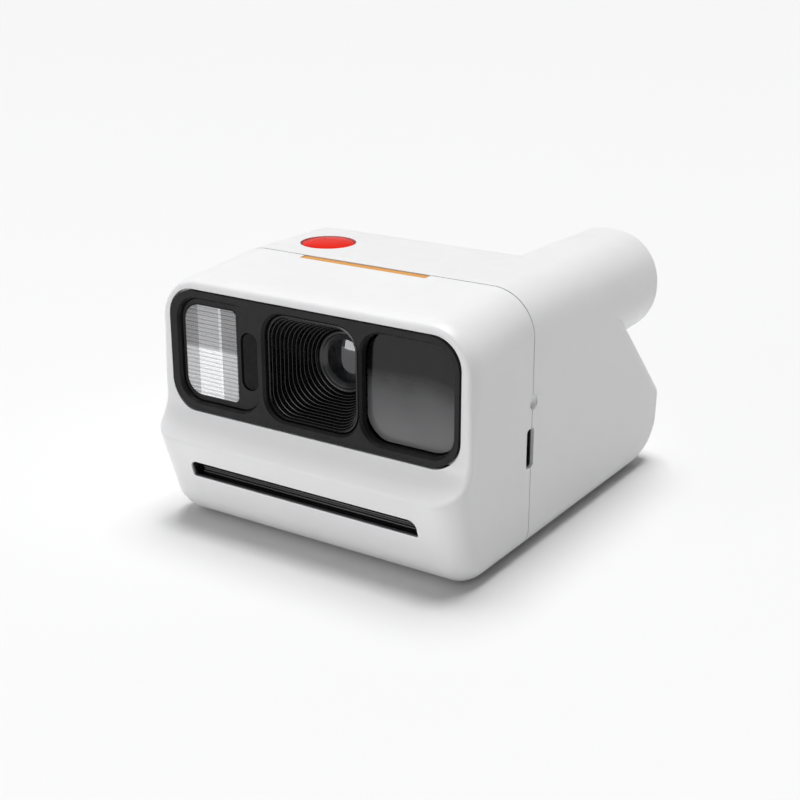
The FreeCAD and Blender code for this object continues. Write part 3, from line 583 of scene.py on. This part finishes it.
def flashPane():
    bm = bmesh.new()
    x0, x1 = flash["x"]
    z0, z1 = flash["z"]
    roundedPlate(bm, x0, x1, z0, z1, flash["front"], flash["radii"])
    pitch = (z1 - z0) / flash["ribs"] / 2
    for k in range(1, flash["ribs"] * 2):
        bmesh.ops.bisect_plane(bm, geom=bm.verts[:] + bm.edges[:] + bm.faces[:],
                               plane_co=(0, 0, (z0 + k * pitch) * mm), plane_no=(0, 0, 1))
    grooves = []
    for vert in bm.verts:
        step = (vert.co.z / mm - z0) / pitch
        if abs(step - round(step)) < flat["snap"] and round(step) % 2 == 1:
            grooves.append(vert)
    far = extrudeFaces(bm)
    bmesh.ops.translate(bm, verts=far, vec=(0, (flash["back"] - flash["front"]) * mm, 0))
    near = (flash["front"] + flat["near"]) * mm
    bmesh.ops.translate(bm, verts=[vert for vert in grooves if vert.co.y < near],
                        vec=(0, flash["ribDepth"] * mm, 0))
    return finishMesh(bm, "flash_pane", finishes["ribGlassPaintedReflection"], flash["sharp"])


standFor(flashPane(), "flash_lens")

reflector = {
    "fold": [(-35.2, -43.3), (-34.6, -43.3), (-31.6, -37.6), (-27.6, -36.0), (-25.6, -37.2),
             (-24.4, -40.6), (-20.9, -43.3), (-20.4, -43.3), (-20.4, -34.2), (-35.2, -34.2)],
    "bottom": 31.9, "height": 21.4, "bend": 0.5, "bendSteps": 3, "sharp": 25,
    "bendFrom": -43.0, "bendTo": -35.0,              # only the folds between these rows are rounded
}


def flashReflector():
    bm = bmesh.new()
    bm.faces.new([bm.verts.new((x * mm, y * mm, reflector["bottom"] * mm)) for x, y in reflector["fold"]])
    bmesh.ops.translate(bm, verts=extrudeFaces(bm), vec=(0, 0, reflector["height"] * mm))
    upright = [edge for edge in bm.edges
               if abs(edge.verts[0].co.z - edge.verts[1].co.z) > reflector["height"] / 2 * mm]
    inner = [edge for edge in upright
             if reflector["bendFrom"] * mm < edge.verts[0].co.y < reflector["bendTo"] * mm]
    bmesh.ops.bevel(bm, geom=inner, offset=reflector["bend"] * mm, offset_type="OFFSET", affect="EDGES",
                    segments=reflector["bendSteps"], profile=0.5, material=-1)
    return finishMesh(bm, "folded_reflector", finishes["bright_metal"], reflector["sharp"])


standFor(flashReflector(), "flash_reflector")

flashTube = {
    "bottom": (-27.8, -39.0, 32.6), "steps": 48,
    "profile": [(0, 0), (1.15, 0), (1.25, 0.1), (1.25, 2.2), (1.5, 2.4), (1.5, 17.6), (1.25, 17.8),
                (1.25, 19.9), (1.15, 20.0), (0, 20.0)],
}
# the tube takes the pane's finish, so it carries the same painted reflection bands
glassTube = lathe("flash_glass_tube", flashTube["profile"], flashTube["bottom"], (0, 0, 1),
                  finishes["ribGlassPaintedReflection"], flashTube["steps"])
standFor(glassTube, "flash_tube")
print("flash ready")


# lens: ring with a stepped dish, front and rear glass

optics = {
    "centre": (0.85, 0.0, 42.1),
    "ringR": 7.2, "ringFront": -33.2, "ringBack": -26.0,
    "glassR": 5.0, "glassRim": -32.2, "glassRise": 0.68, "glassEdge": 1.6,
    "rearR": 4.6, "rearRim": -28.3, "rearRise": 0.4, "rearEdge": 1.0,
    "ringSteps": 128, "ringSharp": 50, "glassSteps": 128, "rearSteps": 96,
}


def lensRing():
    r, front, back = optics["ringR"], optics["ringFront"], optics["ringBack"]
    profile = [(r, back), (r, front + 0.25), (r - 0.08, front + 0.08), (r - 0.25, front),
               (r - 0.45, front), (r - 0.62, front + 0.10), (r - 1.05, front + 0.42),
               (r - 1.12, front + 0.36), (r - 1.25, front + 0.40), (r - 1.95, front + 0.92),
               (r - 2.05, front + 0.88), (r - 2.15, front + 1.0), (r - 2.15, front + 3.8),
               (r - 2.55, front + 3.8), (r - 2.55, back)]
    return lathe("lens_ring", profile, optics["centre"], (0, 1, 0), finishes["ringBlack"],
                 optics["ringSteps"], optics["ringSharp"])


def lensGlass(name, radius, rise, rim, edge, steps):
    profile = arcProfile(radius, rise, rim) + [(0, rim + edge), (radius, rim + edge)]
    return lathe(name, profile, optics["centre"], (0, 1, 0), finishes["clear_lens"], steps)


standFor(lensRing(), "lens_barrel")
frontGlass = lensGlass("front_glass", optics["glassR"], optics["glassRise"], optics["glassRim"],
                       optics["glassEdge"], optics["glassSteps"])
standFor(frontGlass, "front_lens")
rearGlass = lensGlass("rear_glass", optics["rearR"], optics["rearRise"], optics["rearRim"],
                      optics["rearEdge"], optics["rearSteps"])
standFor(rearGlass, "rear_lens")
print("lens ready")


# ribbed cone: rounded squares that turn into a circle, one loop bridged to the next

cone = {
    "midX": 0.85, "frontZ": 42.6, "backZ": 42.1,
    "ribs": 12, "frontHalf": 11.7, "backHalf": 7.7, "frontR": 5.0, "backR": 7.65,
    "frontY": -44.6, "backY": -33.5, "ease": 0.16, "sharp": 40,
    "mouth": (11.85, 5.1, -45.4), "mouthEase": -45.25,   # half width, corner radius, y
    "throat": (7.45, 7.4, -33.1),
    "body": (11.6, 4.5), "bodyY": (-32.9, -43.0),
    "flange": (12.15, 5.25), "flangeY": (-42.95, -45.3),
}


def between(front, back, share):
    return front + (back - front) * share


# (half width, corner radius, height of the middle, y) of every loop, front to back, then round the outside
def coneSections():
    half, radius, y = cone["mouth"]
    sections = [(half, radius, cone["frontZ"], y),
                (cone["frontHalf"], cone["frontR"], cone["frontZ"], cone["mouthEase"])]
    ease = cone["ease"]
    for k in range(cone["ribs"]):
        share = (k + 1) / cone["ribs"]
        half = between(cone["frontHalf"], cone["backHalf"], share)
        radius = between(cone["frontR"], cone["backR"], share)
        middle = between(cone["frontZ"], cone["backZ"], share)
        y = between(cone["frontY"], cone["backY"], k / (cone["ribs"] - 1))
        outerHalf, outerR, outerZ = sections[-1][:3]
        sections.append((outerHalf, outerR, outerZ, y + ease))
        sections.append((half + ease, radius + ease / 2, middle, y))
        sections.append((half + ease * 0.3, radius + ease * 0.2, middle, y + ease * 0.3))
        sections.append((half, radius, middle, y + ease))
    half, radius, y = cone["throat"]
    sections.append((half, radius, cone["backZ"], y))
    for outline, rows in ((cone["body"], cone["bodyY"]), (cone["flange"], cone["flangeY"])):
        sections += [(*outline, cone["frontZ"], y) for y in rows]
    return sections


def ribbedCone():
    bm = bmesh.new()
    loops = []
    for half, radius, middle, y in coneSections():
        known = set(bm.edges)
        x = cone["midX"]
        roundedPlate(bm, x - half, x + half, middle - half, middle + half, y, (radius,) * 4)
        loops.append([edge for edge in bm.edges if edge not in known])
        bmesh.ops.delete(bm, geom=bm.faces[:], context="FACES_ONLY")
    for i, loop in enumerate(loops):
        bmesh.ops.bridge_loops(bm, edges=loop + loops[(i + 1) % len(loops)])
    return finishMesh(bm, "ribbed_cone", finishes["ribBlack"], cone["sharp"])


standFor(ribbedCone(), "lens_cone")
print("ribbed cone ready")


# finder: crowned window

finder = {
    "x": (14.7, 37.2), "z": (30.5, 54.7), "rim": -45.0, "radius": 5.2,
    "ball": 34.0, "front": -46.6, "rings": 9, "ringStep": 1.1, "sharp": 40,
    "back": -42.05, "backCrown": 0.02,   # the back keeps this share of the dome
}


# plate whose face is a shallow dome, made by insetting its outline ring after ring
def finderWindow():
    bm = bmesh.new()
    roundedPlate(bm, *finder["x"], *finder["z"], finder["rim"], [finder["radius"]] * 4)
    middle = bm.faces[:]
    for _ in range(finder["rings"]):
        bmesh.ops.inset_region(bm, faces=middle, thickness=finder["ringStep"] * mm, depth=0,
                               use_even_offset=True)
    midX = sum(finder["x"]) / 2 * mm
    midZ = sum(finder["z"]) / 2 * mm
    ball = finder["ball"] * mm
    for vert in bm.verts:
        out = (vert.co.x - midX) ** 2 + (vert.co.z - midZ) ** 2
        vert.co.y = finder["front"] * mm + ball - math.sqrt(ball * ball - out)
    for vert in extrudeFaces(bm):
        vert.co.y = finder["back"] * mm + (vert.co.y - finder["front"] * mm) * finder["backCrown"]
    return finishMesh(bm, "finder_window", finishes["finderPaintedReflection"], finder["sharp"])


standFor(finderWindow(), "viewfinder_window")
print("finder ready")


# shutter button

button = {
    "centre": (-22.5, -6.75, 0.0), "steps": 128,
    "profile": [(0, 54.4), (1.1, 54.4), (1.1, 57.2), (7.4, 57.2), (7.4, 58.3), (6.0, 58.3), (6.0, 59.0),
                (6.5, 59.1), (6.5, 60.8), (6.46, 61.0), (6.35, 61.18), (6.15, 61.32), (5.9, 61.42),
                (5.0, 61.60), (4.0, 61.73), (3.0, 61.82), (2.0, 61.87), (1.0, 61.895), (0, 61.9)],
}
releaseButton = lathe("release_button", button["profile"], button["centre"], (0, 0, 1),
                      finishes["red_button"], button["steps"])
standFor(releaseButton, "shutter_button")
print("button ready")


# charge light: a small dished pipe end on the seam

dish = {
    "centre": (0.0, -19.35, 36.5), "radius": 1.75, "back": 39.0, "floor": 41.05, "lip": 41.75,
    "hollow": 0.94, "points": 10, "steps": 64,
}


def chargeLight():
    r = dish["radius"]
    profile = [(0, dish["back"]), (r, dish["back"]), (r, dish["lip"])]
    for i in range(dish["points"] + 1):
        turn = i / dish["points"] * math.pi / 2
        profile.append((r * dish["hollow"] * math.cos(turn),
                        dish["lip"] - (dish["lip"] - dish["floor"]) * math.sin(turn)))
    bm = bmesh.new()
    cx, cy, cz = (value * mm for value in dish["centre"])
    verts = [bm.verts.new((along * mm, cy, cz + radius * mm)) for radius, along in profile[:-1]]
    verts.append(bm.verts.new((profile[-1][1] * mm, cy, cz)))
    edges = [bm.edges.new((a, b)) for a, b in zip(verts, verts[1:])]
    bmesh.ops.spin(bm, geom=verts + edges, cent=(0, cy, cz), axis=(1, 0, 0), angle=math.tau,
                   steps=dish["steps"], use_merge=True)
    bmesh.ops.remove_doubles(bm, verts=bm.verts[:], dist=spunGap)
    return finishMesh(bm, "charge_light_pipe", finishes["white_shell"])


standFor(chargeLight(), "charge_light")
print("charge light ready")


# light edges on the remaining pieces: width of the rounding in millimetres, segments
easedEdges = {
    "front_panel": (0.22, 3), "flash_housing": (0.18, 3),
    "film_slot_bezel": (0.15, 2), "door_latch": (0.18, 2), "eyecup": (0.35, 3),
    "viewfinder_tunnel": (0.2, 2), "film_chamber": (0.25, 2), "film_pack": (0.4, 2),
    "roller_frame": (0.15, 2), "battery": (0.9, 3), "main_board": (0.12, 1),
    "drive_motor": (0.3, 2), "usb_port": (0.08, 2), "shutter_case": (0.2, 2),
    "light_box": (0.25, 2), "button_board": (0.1, 1), "power_button": (0.15, 2),
    "flash_button": (0.15, 2), "counter_window": (0.2, 2), "photocell_window": (0.2, 2),
    "eyepiece_lens": (0.2, 2), "accent_strip": (0.05, 1), "shutter_switch": (0.12, 1),
    "film_shield": (0.08, 2), "flash_capacitor": (0.5, 3), "counter_display": (0.12, 1),
    "photocell_sensor": (0.12, 1), "mirror": (0.12, 1), "shell_screws": (0.10, 2),
}
for node, settings in easedEdges.items():
    eased(node, *settings)
print("edges eased on", len(easedEdges), "pieces")
